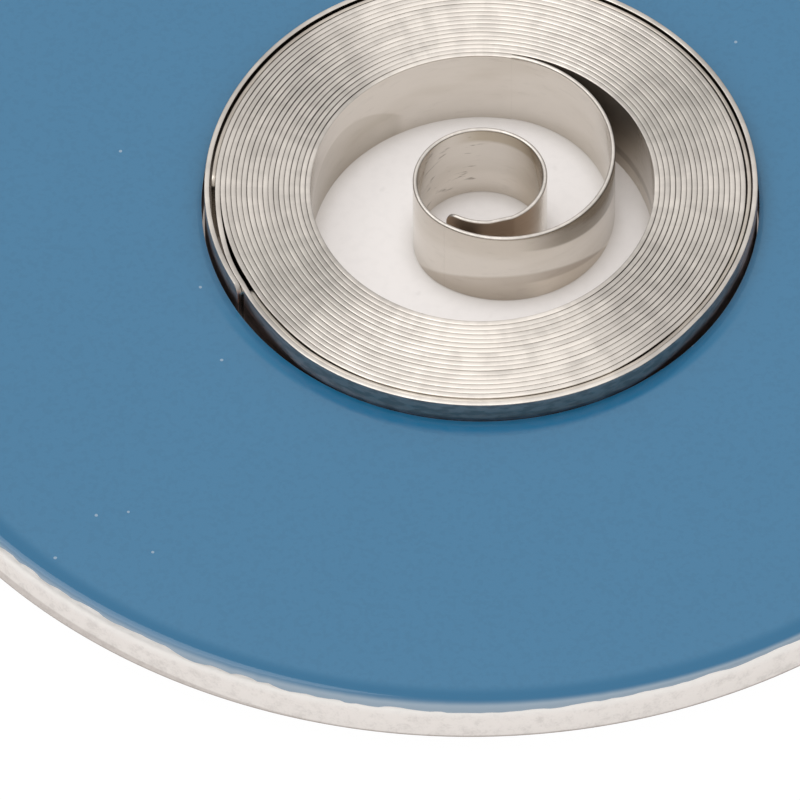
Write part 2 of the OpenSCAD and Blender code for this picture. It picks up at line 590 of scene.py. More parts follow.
@dataclass(frozen=True)
class StripFinish(Finish):
    """Rolled and hardened strip: satin walls and edges that are a little paler.

    The rounded edges catch less light where the winding runs slantwise, which the
    painted sheen gives for half a turn as pairs of a direction and a share.
    """

    wall: Colour
    stain: Colour
    edge: Colour
    dark_wall: Colour
    fields: tuple[PaintedLightField, ...] = ()
    # Painted sheen: how bright the wound edges are by direction, as a share.
    sheen: Table = (
        (0, 0.81), (15, 0.70), (30, 0.52), (42, 0.54), (60, 0.86), (75, 0.97), (90, 1.0),
        (105, 0.99), (120, 0.89), (135, 0.61), (150, 0.64), (165, 0.75),
    )
    # Painted sheen of the free loop's and the coil's edges.
    free_sheen: float = 0.84
    wound_from: Point = (3.0, 3.2)
    # Painted radial streaks of sheen over the edges.
    ray_scale: float = 13.0
    ray_bend: float = 0.09
    dark_from: float = 5.15
    outer_side: float = 0.02
    edge_facing: Point = (0.25, 0.8)
    line_density: float = 26.0
    line_reach: float = 0.05
    line_depth: float = 0.0000004
    stain_share: float = 0.3
    scuff: Colour = linear(120, 108, 94)
    scuff_share: float = 0.05
    rubbed_share: float = 0.5
    rubbed_in: Point = (-11.2, -10.8)
    rubbed_out: Point = (-9.2, -8.6)
    speck: Colour = linear(250, 248, 244)
    speck_share: float = 0.6
    wall_roughness: float = 0.14
    outer_roughness: float = 0.34
    dull_roughness: float = 0.5
    edge_roughness: float = 0.4
    dull: tuple[DullStretch, ...] = (
        DullStretch(-17.0, -13.2, 0.4),
        DullStretch(16.9, 23.0, 1.9),
        DullStretch(466.5, 469.0, 0.3),
    )

    def look(self, graph: Graph) -> Look:
        """Adds the nodes of the finish.

        Args:
            graph: The material's graph.

        Returns:
            What the surface takes.
        """
        spot = StripSpot(graph)
        facing = graph.add("NewGeometry").outputs["Normal"]
        upward = graph.math("ABSOLUTE", graph.split(facing)[2])
        edge = graph.ramp(upward, *self.edge_facing)
        line = graph.use(
            Effect.DRAWN_LINES,
            strip_place=spot.strip_place,
            density=self.line_density,
            reach=self.line_reach,
        )
        wall = self.wall_colour(graph, spot)
        colour = graph.mix(edge, wall, self.edge_colour(graph, spot))
        speck = graph.use(Effect.DUST, place=spot.place, scale=2600.0, share=0.012, size=0.16)
        colour = graph.mix(graph.times(speck, self.speck_share), colour, self.speck)
        rough = graph.mix(edge, self.wall_rough(graph, spot), self.edge_roughness, Domain.NUMBER)
        rough = graph.math("ADD", rough, graph.ramp(line, 0.35, 0.65, -0.04, 0.04))
        shader = {"Base Color": colour, "Metallic": 1.0, "Roughness": rough}
        return Look(shader, graph.times(line, graph.inverse(edge)), self.line_depth)

    def wall_colour(self, graph: Graph, spot: StripSpot) -> Socket:
        """Gives the walls' colour with its streaks and scuffs, and the painted shade and painted
        reflections of its fields.

        Args:
            graph: The material's graph.
            spot: Where the shaded point lies.

        Returns:
            The colour's output.
        """
        streaks = graph.noise(spot.strip_place, 1.0, 3.0, stretch=(0.35, 1.1, 1.0))
        stained = graph.times(graph.ramp(streaks, 0.4, 0.7), self.stain_share)
        wall = graph.mix(stained, self.wall, self.stain)
        scuffs = graph.noise(spot.strip_place, 1.0, 3.0, stretch=(2.2, 8.0, 1.0))
        rubbed = graph.times(
            graph.ramp(spot.along, *self.rubbed_in),
            graph.ramp(spot.along, *self.rubbed_out, 1.0, 0.0),
            graph.math("LESS_THAN", spot.across, 0.0),
        )
        share = graph.ramp(rubbed, 0.0, 1.0, self.scuff_share, self.rubbed_share)
        wall = graph.mix(graph.times(graph.ramp(scuffs, 0.58, 0.68), share), wall, self.scuff)
        mottle = graph.noise(spot.strip_place, 1.0, 4.0, stretch=(3.0, 9.0, 1.0))
        dark = graph.mix(graph.ramp(mottle, 0.4, 0.6, 0.72, 1.04), BLACK, self.dark_wall)
        wall = graph.mix(self.outermost(graph, spot), wall, dark)
        # Painted shade and painted reflections tint the walls, field by field.
        for item in self.fields:
            tint = graph.mix(item.mask(graph, spot), WHITE, item.tint)
            wall = graph.add("VectorMath", {0: wall, 1: tint}, operation="MULTIPLY").outputs[0]
        return wall

    def outermost(self, graph: Graph, spot: StripSpot) -> Socket:
        """Gives 1 on the outer wall of the winding's last turn and 0 elsewhere."""
        far = graph.math("GREATER_THAN", spot.reach, self.dark_from * MM)
        return graph.times(far, graph.math("GREATER_THAN", spot.across, self.outer_side))

    def wall_rough(self, graph: Graph, spot: StripSpot) -> Socket:
        """Gives the walls' roughness, which dried oil raises along some stretches.

        Args:
            graph: The material's graph.
            spot: Where the shaded point lies.

        Returns:
            The roughness's output.
        """
        dulled = 0.0
        for part in self.dull:
            begun = graph.ramp(spot.along, part.start, part.start + part.ease)
            ending = graph.ramp(spot.along, part.stop - part.ease, part.stop, 1.0, 0.0)
            dulled = graph.math("MULTIPLY_ADD", begun, ending, dulled)
        outermost = self.outermost(graph, spot)
        rough = graph.mix(outermost, self.wall_roughness, self.outer_roughness, Domain.NUMBER)
        return graph.mix(dulled, rough, self.dull_roughness, Domain.NUMBER)

    def edge_colour(self, graph: Graph, spot: StripSpot) -> Socket:
        """Gives the edges' colour, dimmed by the painted sheen where the strip is wound.

        Args:
            graph: The material's graph.
            spot: Where the shaded point lies.

        Returns:
            The colour's output.
        """
        half_turn = graph.math("FRACT", graph.math("DIVIDE", spot.turn, math.pi))
        node = graph.add("ValToRGB", {0: half_turn})
        stops = node.color_ramp
        stops.interpolation = "B_SPLINE"
        stops.elements[0].position, stops.elements[1].position = 0.0, 1.0
        for direction, share in self.sheen[1:]:
            stops.elements.new(direction / 180).color = (share, share, share, 1.0)
        for end in (stops.elements[0], stops.elements[-1]):
            end.color = (self.sheen[0][1],) * 3 + (1.0,)
        wound = graph.ramp(spot.reach, self.wound_from[0] * MM, self.wound_from[1] * MM)
        shine = graph.mix(wound, self.free_sheen, node.outputs[0], Domain.NUMBER)
        uneven = graph.noise(spot.strip_place, 1.0, 2.0, stretch=(0.7, 0.0, 0.0))
        # Painted radial streaks of sheen.
        ray = {
            0: graph.math("COSINE", spot.turn),
            1: graph.math("SINE", spot.turn),
            2: graph.times(spot.reach, self.ray_bend / MM),
        }
        rays = graph.noise(graph.add("CombineXYZ", ray).outputs[0], self.ray_scale, 4.0)
        shine = graph.times(
            shine,
            graph.ramp(uneven, 0.3, 0.7, 0.84, 1.08),
            graph.ramp(rays, 0.35, 0.65, 0.93, 1.06),
        )
        return graph.mix(shine, BLACK, self.edge)


@dataclass(frozen=True)
class LacquerFinish(Finish):
    """Glossy coloured film on metal, paler where it thins over an edge, with a painted highlight
    there, and with painted shade by the bore.
    """

    film: Colour
    # Paler film over the lip: thinner film there, with a painted highlight.
    thin_film_highlight: Colour
    bead: Colour
    # Painted shade and painted reflection of the spring's wall on the film by the bore, on the front
    # side.
    shade_by_bore: Colour
    speck: Colour
    bead_at: float
    bead_shift: Point
    specks: Table
    face_z: float = 1.395
    bead_reach: Point = (-0.22, 0.04)
    shade_by_bore_to: float = 5.66
    shade_by_bore_width: float = 0.12
    shade_by_bore_front: Point = (-0.3, -0.75)
    lip_facing: Point = (0.995, 0.7)
    lip_highlight_share: float = 0.85
    grain_scale: float = 9000.0
    ripple_scale: float = 1500.0
    ripple_depth: float = 0.0000006
    speck_radius: float = 0.000033
    speck_share: float = 0.3
    speck_roughness: float = 0.5
    roughness: float = 0.1
    refraction: float = 1.47

    def look(self, graph: Graph) -> Look:
        """Adds the nodes of the finish.

        Args:
            graph: The material's graph.

        Returns:
            What the surface takes.
        """
        place = graph.place()
        speck = self.speck_mask(graph, place)
        film = self.face_colour(graph, place)
        facing = graph.split(graph.add("NewGeometry").outputs["Normal"])[2]
        # The film thins over the lip, and a painted highlight brightens it there.
        over_lip = graph.times(graph.ramp(facing, *self.lip_facing), self.lip_highlight_share)
        film = graph.mix(over_lip, film, self.thin_film_highlight)
        shader = {
            "Base Color": graph.mix(graph.times(speck, self.speck_share), film, self.speck),
            "Roughness": graph.math("ADD", self.roughness, graph.times(speck, self.speck_roughness)),
            "IOR": self.refraction,
        }
        return Look(shader, graph.noise(place, self.ripple_scale, 3.0), self.ripple_depth)

    def face_colour(self, graph: Graph, place: Socket) -> Socket:
        """Gives the film's colour on the face, with its bead and the painted shade by the bore on the
        front side.

        Args:
            graph: The material's graph.
            place: The place on the piece.

        Returns:
            The colour's output.
        """
        tone = graph.use(Effect.BLOTCHES, place=place, scale=160.0, contrast=0.5)
        deeper = tuple(part * 0.93 for part in self.film)
        paler = tuple(min(1.0, part * 1.07) for part in self.film)
        film = graph.mix(tone, deeper, paler)
        grain = graph.ramp(graph.noise(place, self.grain_scale, 2.0), 0.35, 0.65, 0.95, 1.05)
        film = graph.mix(grain, BLACK, film)
        shift = {0: place, 1: (self.bead_shift[0] * MM, self.bead_shift[1] * MM, 0.0)}
        centred = graph.add("VectorMath", shift, operation="SUBTRACT").outputs[0]
        rim_reach, _, _ = graph.polar(centred)
        bead_from, bead_to = (self.bead_at + beside for beside in self.bead_reach)
        bead = graph.ramp(rim_reach, bead_from * MM, bead_to * MM)
        film = graph.mix(bead, film, self.bead)
        # Painted shade and painted reflection by the bore, on the front side only.
        reach, turn, _ = graph.polar(place)
        by_bore = graph.ramp(reach, self.shade_by_bore_to * MM, (self.shade_by_bore_to - self.shade_by_bore_width) * MM)
        front = graph.ramp(graph.math("SINE", turn), *self.shade_by_bore_front)
        return graph.mix(graph.times(by_bore, front), film, self.shade_by_bore)

    def speck_mask(self, graph: Graph, place: Socket) -> Socket:
        """Gives 1 on the fine dust and on each of the larger specks.

        Args:
            graph: The material's graph.
            place: The place on the piece.

        Returns:
            The mask's output.
        """
        speck = graph.use(Effect.DUST, place=place, scale=650.0, share=0.03, size=0.05)
        for x, y in self.specks:
            centre = (x * MM, y * MM, self.face_z * MM)
            spot = graph.use(Effect.MARK, place=place, centre=centre, radius=self.speck_radius)
            speck = graph.math("MAXIMUM", speck, spot)
        return speck


@dataclass(frozen=True)
class BareMetalFinish(Finish):
    """Turned metal left bare, with fine scratches and faint stains, a painted highlight on the upper
    rim and painted shade in the bore.
    """

    clean: Colour
    stained: Colour
    # Painted highlight on the upper rim, below the rolled edge.
    lip: Colour
    foot: Colour
    # Painted shade on the bore's wall.
    bore: Colour
    lip_highlight_from: float = 1.0
    lip_highlight_width: float = 0.2
    lip_highlight_share: float = 0.8
    foot_to: float = 0.505
    foot_width: float = 0.03
    foot_share: float = 0.7
    bore_to: float = 5.4
    stain_turn: Point = (-2.35, -1.75)
    stain_to: Point = (0.7, 0.5)
    stain_width: float = 0.07
    stain_share: float = 0.35
    pit_share: float = 0.5
    groove_turn: float = 0.004
    line_scale: float = 16000.0
    line_depth: float = 0.0000012
    metallic: float = 0.55
    roughness: float = 0.42

    def look(self, graph: Graph) -> Look:
        """Adds the nodes of the finish.

        Args:
            graph: The material's graph.

        Returns:
            What the surface takes.
        """
        place = graph.place()
        reach, turn, height = graph.polar(place)
        tone = graph.use(Effect.BLOTCHES, place=place, scale=3800.0, contrast=1.5)
        colour = graph.mix(graph.ramp(tone, 0.4, 0.8), self.clean, self.stained)
        groove = {0: graph.times(turn, self.groove_turn), 1: height, 2: reach}
        lines = graph.noise(graph.add("CombineXYZ", groove).outputs[0], self.line_scale, 3.0)
        pit = graph.use(Effect.DUST, place=place, scale=900.0, share=0.05, size=0.08)
        colour = graph.mix(graph.times(pit, self.pit_share), colour, self.stained)
        # Painted highlight on the upper rim.
        lip_highlight_to = self.lip_highlight_from + self.lip_highlight_width
        lip = graph.ramp(height, self.lip_highlight_from * MM, lip_highlight_to * MM, 0.0, self.lip_highlight_share)
        colour = graph.mix(lip, colour, self.lip)
        foot_end = self.foot_to + self.foot_width
        foot = graph.ramp(height, self.foot_to * MM, foot_end * MM, self.foot_share, 0.0)
        colour = graph.mix(foot, colour, self.foot)
        stain_to = graph.ramp(turn, *self.stain_turn, self.stain_to[0] * MM, self.stain_to[1] * MM)
        above = graph.math("SUBTRACT", height, stain_to)
        stain = graph.ramp(above, 0.0, self.stain_width * MM, self.stain_share, 0.0)
        colour = graph.mix(stain, colour, self.foot)
        # Painted shade on the bore's wall.
        inside = graph.math("LESS_THAN", reach, self.bore_to * MM)
        rough = graph.math("ADD", self.roughness, graph.ramp(lines, 0.3, 0.7, -0.06, 0.06))
        shader = {
            "Base Color": graph.mix(inside, colour, self.bore),
            "Metallic": self.metallic,
            "Roughness": rough,
        }
        return Look(shader, lines, self.line_depth)


SPRING_STEEL = StripFinish(
    slot=Slot.SPRING_STEEL,
    wall=linear(218, 212, 204),
    stain=linear(186, 175, 159),
    edge=linear(230, 223, 215),
    dark_wall=linear(232, 192, 176),
    # Painted shade and painted reflections on the walls of the loop, the coil and the winding, darker
    # and paler than the wall; the last one makes the tail's outer wall browner.
    fields=(
        PaintedLightField(
            tint=(0.78, 0.75, 0.72), fades_in=(-8.8, -8.4), fades_out=(-3.6, -3.2), middle=-6.3,
            level=0.8, bend=0.15,
        ),
        PaintedLightField(
            tint=(0.86, 0.84, 0.82), fades_in=(-6.3, -5.3), fades_out=(-3.6, -3.2), middle=-6.3,
            level=0.8, bend=0.15, softness=0.08,
        ),
        PaintedLightField(
            tint=(1.36, 1.38, 1.39), fades_in=(-6.4, -5.7), fades_out=(-3.6, -3.2), middle=-6.3,
            level=0.52, bend=0.08, softness=0.08,
        ),
        PaintedLightField(
            tint=(0.47, 0.45, 0.42), fades_in=(-6.5, -5.3), fades_out=(-2.6, -1.6), over=True,
            middle=-5.5, level=1.38, slope=-0.17, softness=0.09,
        ),
        PaintedLightField(
            tint=(0.74, 0.7, 0.62), fades_in=(-13.2, -12.4), fades_out=(-11.1, -10.4),
            outer=False, over=True, middle=-11.6, level=1.6, softness=0.12,
        ),
        PaintedLightField(
            tint=(0.74, 0.69, 0.62), fades_in=(-14.0, -13.6), fades_out=(-12.4, -11.4),
            outer=False,
        ),
        PaintedLightField(
            tint=(0.86, 0.85, 0.83), fades_in=(2.1, 2.35), fades_out=(6.0, 8.0), outer=False,
            middle=3.9, level=1.3, bend=0.25, softness=0.09,
        ),
        PaintedLightField(
            tint=(0.93, 0.92, 0.91), fades_in=(2.6, 3.5), fades_out=(9.0, 10.0), outer=False,
            middle=3.2, level=0.95, slope=0.5, softness=0.5,
        ),
        PaintedLightField(
            tint=(0.62, 0.58, 0.55), fades_in=(17.9, 18.9), fades_out=(20.4, 20.8), outer=False,
        ),
        PaintedLightField(
            tint=(0.66, 0.63, 0.6), fades_in=(14.6, 15.6), fades_out=(18.6, 19.6), outer=False,
            middle=16.4, level=0.66, slope=-0.04,
        ),
        PaintedLightField(
            tint=(1.42, 1.45, 1.47), fades_in=(14.6, 15.6), fades_out=(18.6, 19.6), outer=False,
            middle=16.4, level=0.44, slope=-0.04, softness=0.08,
        ),
        PaintedLightField(
            tint=(1.12, 1.12, 1.12), fades_in=(-13.5, -12.5), fades_out=(-9.5, -8.5),
            outer=False, level=0.9, softness=0.6,
        ),
        # Painted reflection of the blue lacquer on the outer turns' outer wall.
        PaintedLightField(
            tint=(0.5, 0.6, 0.7), fades_in=(400.0, 402.0), fades_out=(900.0, 901.0), level=1.5,
            softness=0.07,
        ),
        # Browner on the tail's outer wall.
        PaintedLightField(
            tint=(0.85, 0.72, 0.62), fades_in=(-17.0, -16.9), fades_out=(-13.9, -13.3),
        ),
    ),
)
BRIDLE_STEEL = StripFinish(
    slot=Slot.BRIDLE_STEEL,
    wall=linear(196, 188, 178),
    stain=linear(150, 140, 124),
    edge=linear(214, 205, 194),
    dark_wall=linear(150, 140, 124),
    wall_roughness=0.28,
    edge_roughness=0.36,
)
BLUE_LACQUER = LacquerFinish(
    slot=Slot.BLUE_LACQUER,
    film=linear(62, 119, 156),
    # Thinner film over the lip, with a painted highlight.
    thin_film_highlight=linear(164, 180, 194),
    bead=linear(36, 104, 143),
    # Painted shade by the bore.
    shade_by_bore=linear(6, 106, 149),
    speck=linear(225, 230, 232),
    bead_at=11.93,
    bead_shift=(-0.1, 0.105),
    specks=(
        (-5.32, -2.07), (-4.90, -3.84), (4.89, 3.96), (4.00, -3.48), (-6.63, -7.50),
        (-6.16, -8.46), (-7.23, -7.58), (-7.99, -8.60), (-6.87, 1.26),
    ),
)
BARE_ALUMINIUM = BareMetalFinish(
    slot=Slot.BARE_ALUMINIUM,
    clean=linear(245, 240, 236),
    stained=linear(226, 221, 217),
    # Painted highlight on the upper rim.
    lip=linear(252, 250, 247),
    foot=linear(150, 136, 128),
    # Painted shade on the bore's wall.
    bore=linear(122, 118, 118),
)


# Routes and meshes


@dataclass(frozen=True)
class Arc:
    """Part of a circle, from one direction to another, in degrees."""

    centre: Point
    radius: float
    start: float
    stop: float

    @property
    def sign(self) -> int:
        """Gives 1 where the arc runs counter-clockwise and -1 where it doesn't."""
        return 1 if self.stop > self.start else -1

    def at(self, angle: float) -> np.ndarray:
        """Gives the point of the arc in a direction."""
        return np.array(self.centre) + self.radius * toward(angle)

    def degrees(self, length: float) -> float:
        """Turns a length along the arc into degrees."""
        return math.degrees(length / self.radius)


Spot = tuple[Arc, float]
Curve = Callable[[np.ndarray], np.ndarray]


def chain(legs: Sequence[Point], start: float, centre: np.ndarray) -> list[Arc]:
    """Joins arcs that run smoothly into each other.

    Args:
        legs: Each arc's radius, with the direction in which it ends.
        start: The direction in which the first arc starts.
        centre: The first arc's centre.

    Returns:
        The arcs in order.
    """
    arcs = []
    for index, (radius, stop) in enumerate(legs):
        if index > 0:
            before = legs[index - 1]
            centre = centre + (before[0] - radius) * toward(before[1])
        arcs.append(Arc((float(centre[0]), float(centre[1])), radius, start, stop))
        start = stop
    return arcs


def round_off(centre: Point, radius: float, directions: Sequence[float]) -> list[Point]:
    """Gives points on a circle, in the directions of a list, in degrees."""
    bends = [math.radians(direction) for direction in directions]
    return [(centre[0] + radius * math.cos(a), centre[1] + radius * math.sin(a)) for a in bends]


@dataclass
class Stations:
    """Points along a strip's middle line, with what the strip does at each."""

    points: np.ndarray
    angles: np.ndarray
    along: np.ndarray
    low: np.ndarray
    high: np.ndarray

    def outward(self) -> np.ndarray:
        """Finds the way across the strip, away from the axis.

        Returns:
            A unit vector for each point.
        """
        travel = np.gradient(self.points, axis=0)
        travel /= np.linalg.norm(travel, axis=1)[:, None]
        side = np.stack([travel[:, 1], -travel[:, 0]], axis=1)
        return -side if self.angles[-1] < self.angles[0] else side

    def seat_radius(self) -> float:
        """Measures the last stations' bend, on which the eye lies.

        Returns:
            The bend's radius.
        """
        a, b, c = (self.points[-k] for k in (1, 12, 24))
        sides = [np.linalg.norm(b - a), np.linalg.norm(c - b), np.linalg.norm(a - c)]
        area = abs((b[0] - a[0]) * (c[1] - a[1]) - (c[0] - a[0]) * (b[1] - a[1])) / 2
        return float(np.prod(sides) / (4 * area))


@dataclass(frozen=True)
class Eye:
    """The slot in the inner end, by its direction on the last arc and its size."""

    at: float
    length: float
    height: float


@dataclass
class Strip:
    """A thin strip on edge, with edges that rolling has rounded."""

    thickness: float
    low: float
    high: float
    crown: float = 0.01
    corner_r: float = 0.22
    corner_share: float = 0.999
    step: float = 1.5
    round_first: bool = False
    round_last: bool = False
    eye: Eye | None = None
    swell: Curve | None = None

    def lay(
        self,
        arcs: Sequence[Arc],
        shape: Curve | None = None,
        heights: Curve | None = None,
        along_from: float = 0.0,
    ) -> Stations:
        """Lays the strip along arcs.

        Args:
            arcs: The route of its middle line.
            shape: Gives how far the real strip lies outside the route, by angle.
            heights: Gives how much lower its upper edge is there, by angle.
            along_from: The distance along the whole strip at which this starts.

        Returns:
            The strip's stations.
        """
        spots: list[Spot] = []
        for arc in arcs:
            count = max(2, math.ceil(abs(arc.stop - arc.start) / self.step))
            spots += [(arc, arc.start + (arc.stop - arc.start) * k / count) for k in range(count)]
        spots.append((arcs[-1], arcs[-1].stop))
        spots = self.with_eye_ends(self.with_fine_ends(spots))
        angles = np.array([angle for _, angle in spots])
        points = np.array([arc.at(angle) for arc, angle in spots])
        if shape is not None:
            out = points - np.array([arc.centre for arc, _ in spots])
            out /= np.linalg.norm(out, axis=1)[:, None]
            points = points + out * shape(angles)[:, None]
        steps = np.linalg.norm(np.diff(points, axis=0), axis=1)
        lengths = np.concatenate([[0], np.cumsum(steps)])
        low = np.full(len(spots), self.low)
        high = np.full(len(spots), self.high)
        if heights is not None:
            high -= heights(angles)
            low += heights(angles[::-1])
        ends = ((self.round_first, lengths), (self.round_last, lengths[-1] - lengths))
        for wanted, distance in ends:
            if wanted:
                inside = np.clip(self.corner_r - distance, 0, self.corner_r)
                cut = self.corner_r - np.sqrt(self.corner_r**2 - inside**2)
                high -= cut * self.corner_share
                low += cut * self.corner_share
        return Stations(points, angles, along_from + arcs[-1].sign * lengths, low, high)

    def with_fine_ends(self, spots: list[Spot]) -> list[Spot]:
        """Adds stations near a rounded end, so that its corners come out round.

        Args:
            spots: Each station's arc and its direction on it.

        Returns:
            The stations with the new ones in their place.
        """
        least = 0.2
        steps = [self.corner_r * (1 - math.cos(math.radians(a))) for a in range(10, 91, 10)]
        if self.round_last:
            arc, end = spots[-1]
            fine = [end - arc.sign * arc.degrees(s) for s in reversed(steps)]
            kept = [s for s in spots if arc.sign * (fine[0] - s[1]) > least]
            spots = kept + [(arc, a) for a in (*fine, end)]
        if self.round_first:
            arc, end = spots[0]
            fine = [end + arc.sign * arc.degrees(s) for s in steps]
            kept = [s for s in spots if arc.sign * (s[1] - fine[-1]) > least]
            spots = [(arc, a) for a in (end, *fine)] + kept
        return spots

    def with_eye_ends(self, spots: list[Spot]) -> list[Spot]:
        """Adds stations over the eye, so that its ends come out round.

        Args:
            spots: Each station's arc and its direction on it.

        Returns:
            The stations with the new ones in their place.
        """
        if self.eye is None:
            return spots
        least = 0.3
        arc = spots[-1][0]
        middle = self.eye.at
        half = arc.degrees(self.eye.length / 2)
        round_part = arc.degrees(self.eye.height / 2)
        offsets = [half - round_part * (1 - math.cos(math.radians(a))) for a in range(0, 91, 15)]
        marks = [middle - o for o in offsets] + [middle + o for o in reversed(offsets)]
        kept = [s for s in spots if abs(s[1] - middle) > half + least or s[0] is not arc]
        return sorted(kept + [(arc, a) for a in marks], key=lambda s: arc.sign * s[1])

    def rows(self, stations: Stations) -> tuple[list[np.ndarray], list[np.ndarray], tuple[int, int]]:
        """Gives the rows of points round the strip's cross-section.

        Args:
            stations: The strip's stations.

        Returns:
            For each row its distance across and its height, one value for each
            station, and the two rows of the outer wall between which the eye lies.
        """
        half = self.thickness / 2
        if self.swell is not None:
            half = half + self.swell(stations.angles) / 2
        crown = self.crown
        flat_from, eye_from = 3 * crown, 3.2 * crown
        bends = [math.radians(a) for a in (0, 12, 28, 45, 67.5, 90)]
        across: list[np.ndarray] = []
        heights: list[np.ndarray] = []
        reach = self.eye_reach(stations)
        middle = (self.low + self.high) / 2

        def put(u: float | np.ndarray, z: np.ndarray) -> None:
            """Adds a row."""
            across.append(u * np.ones(len(z)))
            heights.append(z)

        for bend in reversed(bends):
            put(half * math.cos(bend), stations.low + crown - crown * math.sin(bend))
        put(half, stations.low + flat_from)
        eye_rows = (len(across), len(across) + 1)
        put(half, np.maximum(middle - reach, stations.low + eye_from))
        put(half, np.minimum(middle + reach, stations.high - eye_from))
        put(half, stations.high - flat_from)
        for bend in bends:
            put(half * math.cos(bend), stations.high - crown + crown * math.sin(bend))
        for row in reversed(range(1, len(across) - 1)):
            put(-across[row], heights[row])
        return across, heights, eye_rows

    def eye_reach(self, stations: Stations) -> np.ndarray:
        """Gives half the eye's height at each station, or a thin line where there is none.

        Args:
            stations: The strip's stations.

        Returns:
            One height for each station.
        """
        least = 0.01
        if self.eye is None:
            return np.full(len(stations.along), least)
        arc_r = self.eye.height / 2
        away = np.radians(np.abs(stations.angles - self.eye.at)) * stations.seat_radius()
        into = np.clip(self.eye.length / 2 - away, 0, arc_r)
        return np.maximum(np.sqrt(np.maximum(arc_r**2 - (arc_r - into) ** 2, 0)), least)

    def open_stations(self, stations: Stations) -> list[bool]:
        """Tells for each station whether the eye is open from it to the next.

        Args:
            stations: The strip's stations.

        Returns:
            One answer for each station.
        """
        if self.eye is None:
            return [False] * len(stations.along)
        half = math.degrees(self.eye.length / 2 / stations.seat_radius()) + 0.01
        inside = np.abs(stations.angles - self.eye.at) <= half
        following = np.append(inside[1:], inside[-1])
        return (inside & following).tolist()

    def build(self, name: str, stations: Stations) -> bpy.types.Object:
        """Builds the strip's mesh.

        Args:
            name: The piece's name.
            stations: Where the strip runs.

        Returns:
            The new object, in metres.
        """
        across, heights, (outer_low, outer_high) = self.rows(stations)
        side = stations.outward()
        rings = len(across)
        count = len(stations.along)
        inner_high, inner_low = rings - outer_high, rings - outer_low
        verts = np.empty((count, rings, 3))
        notes = np.empty((count, rings, 3))
        for row in range(rings):
            verts[:, row, :2] = stations.points + side * across[row][:, None]
            verts[:, row, 2] = heights[row]
            notes[:, row] = np.stack([stations.along, heights[row], across[row]], axis=1)
        open_at = self.open_stations(stations)
        faces: list[tuple[int, ...]] = []
        for i in range(count - 1):
            here, there = i * rings, (i + 1) * rings
            pairs = [(row, (row + 1) % rings) for row in range(rings)]
            if open_at[i]:
                pairs = [pair for pair in pairs if pair[0] not in (outer_low, inner_high)]
                pairs += [(outer_low, inner_low), (inner_high, outer_high)]
            for row, after in pairs:
                faces.append((here + row, there + row, there + after, here + after))
            shut_before = open_at[i] and (i == 0 or not open_at[i - 1])
            shut_after = open_at[i] and not open_at[i + 1]
            for shut, base in ((shut_before, here), (shut_after, there)):
                if shut:
                    loop = (outer_low, outer_high, inner_high, inner_low)
                    faces.append(tuple(base + row for row in loop))
        last = (count - 1) * rings
        faces.append(tuple(range(rings)))
        faces.append(tuple(last + row for row in reversed(range(rings))))
        made = solid(name, verts.reshape(-1, 3), faces, 50.0)
        note = made.data.attributes.new("strip_place", "FLOAT_VECTOR", "POINT")
        note.data.foreach_set("vector", notes.reshape(-1).astype(np.float32))
        return made


def link(name: str, data: bpy.types.ID) -> bpy.types.Object:
    """Makes an object from its data and links it to the scene.

    Args:
        name: The object's name.
        data: Its mesh, camera or lamp.

    Returns:
        The object.
    """
    made = bpy.data.objects.new(name, data)
    bpy.context.scene.collection.objects.link(made)
    return made


def solid(
    name: str, verts: np.ndarray, faces: Sequence[Sequence[int]], sharp: float
) -> bpy.types.Object:
    """Makes an object from points in millimetres, with its faces turned outwards.

    Args:
        name: The object's name.
        verts: Its points, one row each.
        faces: The points of each face.
        sharp: Edges that turn by more than this angle stay sharp, in degrees.

    Returns:
        The object, in metres and linked to the scene.
    """
    mesh = bpy.data.meshes.new(name)
    mesh.from_pydata((verts * MM).tolist(), [], faces)
    mesh.validate()
    mesh.shade_smooth()
    mesh.set_sharp_from_angle(angle=math.radians(sharp))
    if signed_volume(mesh) < 0:
        mesh.flip_normals()
    return link(name, mesh)


def signed_volume(mesh: bpy.types.Mesh) -> float:
    """Measures a closed mesh.

    Args:
        mesh: The mesh.

    Returns:
        Its volume, which is negative if its faces look inwards.
    """
    mesh.calc_loop_triangles()
    points = np.array([v.co for v in mesh.vertices])
    corners = np.array([t.vertices for t in mesh.loop_triangles])
    a, b, c = (points[corners[:, k]] for k in range(3))
    return float(np.einsum("ij,ij->i", a, np.cross(b, c)).sum() / 6)


def lathe(
    name: str, profile: Callable[[float], Sequence[Point]], rim_shift: Point
) -> bpy.types.Object:
    """Turns a closed profile round the ring's axis.

    Args:
        name: The piece's name.
        profile: Gives the profile's points, as radius and height, for a direction.
        rim_shift: How far the rim's centre lies beside the bore's.

    Returns:
        The new object, in metres.
    """
    loops = [np.array(profile(360 * k / LATHE_STEPS)) for k in range(LATHE_STEPS)]
    size = len(loops[0])
    shift_from, shift_over = 6, 4
    verts = np.empty((LATHE_STEPS, size, 3))
    faces = []
    for k, loop in enumerate(loops):
        share = smooth_step((loop[:, :1] - shift_from) / shift_over)
        verts[k, :, :2] = loop[:, :1] * toward(360 * k / LATHE_STEPS) + share * np.array(rim_shift)
        verts[k, :, 2] = loop[:, 1]
        here, there = k * size, (k + 1) % LATHE_STEPS * size
        for row in range(size):
            after = (row + 1) % size
            faces.append((here + row, there + row, there + after, here + after))
    return solid(name, verts.reshape(-1, 3), faces, 40.0)


def dress(
    piece: bpy.types.Object, material: bpy.types.Material, body: Body, node: str
) -> None:
    """Gives a piece its finish, its body and the CAD node that it stands for.

    Args:
        piece: The piece.
        material: Its finish.
        body: The body that it rides on.
        node: The CAD node that it replaces.
    """
    piece.data.materials.append(material)
    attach(piece, body.value)
    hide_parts(node)
    log.info("%s: %d faces, rides on %s", piece.name, len(piece.data.polygons), body.value)


# Sub-assemblies


